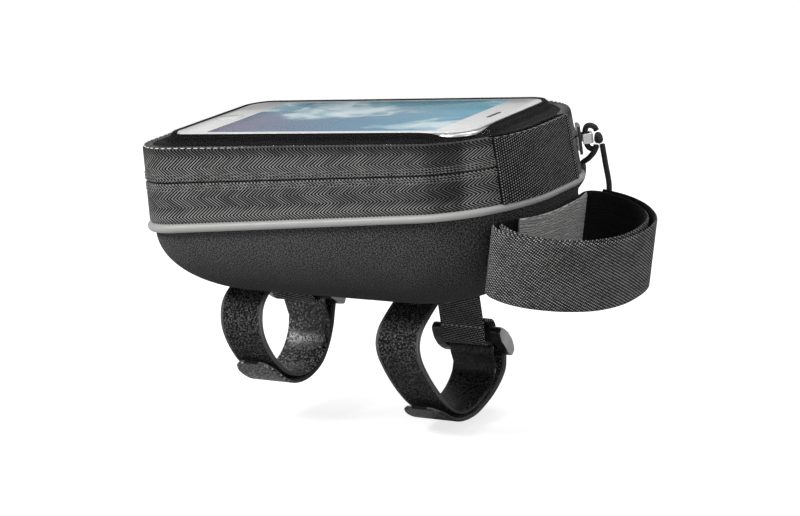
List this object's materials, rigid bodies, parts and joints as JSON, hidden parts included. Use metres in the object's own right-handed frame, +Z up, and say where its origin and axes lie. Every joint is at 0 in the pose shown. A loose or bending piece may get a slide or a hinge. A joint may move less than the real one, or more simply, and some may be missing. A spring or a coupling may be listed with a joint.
{
  "type": "top tube phone bag",
  "caption": "Moulded zip bag for a bicycle's top tube, with a phone under a clear window in its lid, and hook-and-loop straps for the top tube and the head tube.",
  "frame": {"origin": "middle of the flat seat under the bag, which rests on the bicycle's top tube", "axes": "+X forward to the stem, +Y to the bag's far side as seen in the picture, +Z up"},
  "size_m": [0.2062, 0.0952, 0.1276],
  "materials": {
    "shell_fabric": "matte moulded fabric over foam",
    "strap_webbing": "woven webbing with hook-and-loop pile",
    "ribbed_webbing": "ribbed webbing",
    "ring_plastic": "moulded, lightly glossy",
    "zip_tape": "herringbone tape",
    "zip_coil": "nylon coil",
    "front_webbing": "coarse woven webbing",
    "reflective_piping": "reflective covered cord",
    "clear_film": "clear flexible film",
    "black_padding": "black backed foam",
    "phone_case": "satin anodised",
    "phone_glass": "polished glass over a lit display",
    "slider_enamel": "black enamel",
    "bright_metal": "polished plate",
    "braided_cord": "braided cord"
  },
  "bodies": {
    "bag": {"shell": "shell_fabric", "head_strap": "strap_webbing", "head_strap_keeper": "ribbed_webbing", "rear_tube_strap": "strap_webbing", "front_tube_strap": "strap_webbing", "rear_strap_ring": "ring_plastic", "front_strap_ring": "ring_plastic", "rear_ring_tab": "strap_webbing", "front_ring_tab": "strap_webbing", "lower_zip_tape": "zip_tape", "lower_zip_coil": "zip_coil", "lower_front_webbing": "front_webbing", "piping": "reflective_piping"},
    "lid": {"upper_zip_tape": "zip_tape", "upper_zip_coil": "zip_coil", "upper_front_webbing": "front_webbing", "window_film": "clear_film", "window_surround": "black_padding", "phone_pocket_floor": "black_padding", "phone_body": "phone_case", "phone_screen": "phone_glass"},
    "slider": {"zip_slider": "slider_enamel", "slider_bridge": "bright_metal", "pull_cord_eye": "braided_cord", "pull_cord_knot": "braided_cord", "pull_cord_loop": "braided_cord"}
  },
  "joints": [
    {"name": "lid_fold", "type": "hinge", "parent": "bag", "child": "lid", "pos_m": [0.08297, 0, 0.06356], "axis": [0, 1, 0], "range_deg": [0, 100]},
    {"name": "slider_run", "type": "hinge", "parent": "bag", "child": "slider", "pos_m": [0.04534, 0.008, 0.05451], "axis": [-0.0802, 0, 0.9968], "range_deg": [0, 49]}
  ]
}
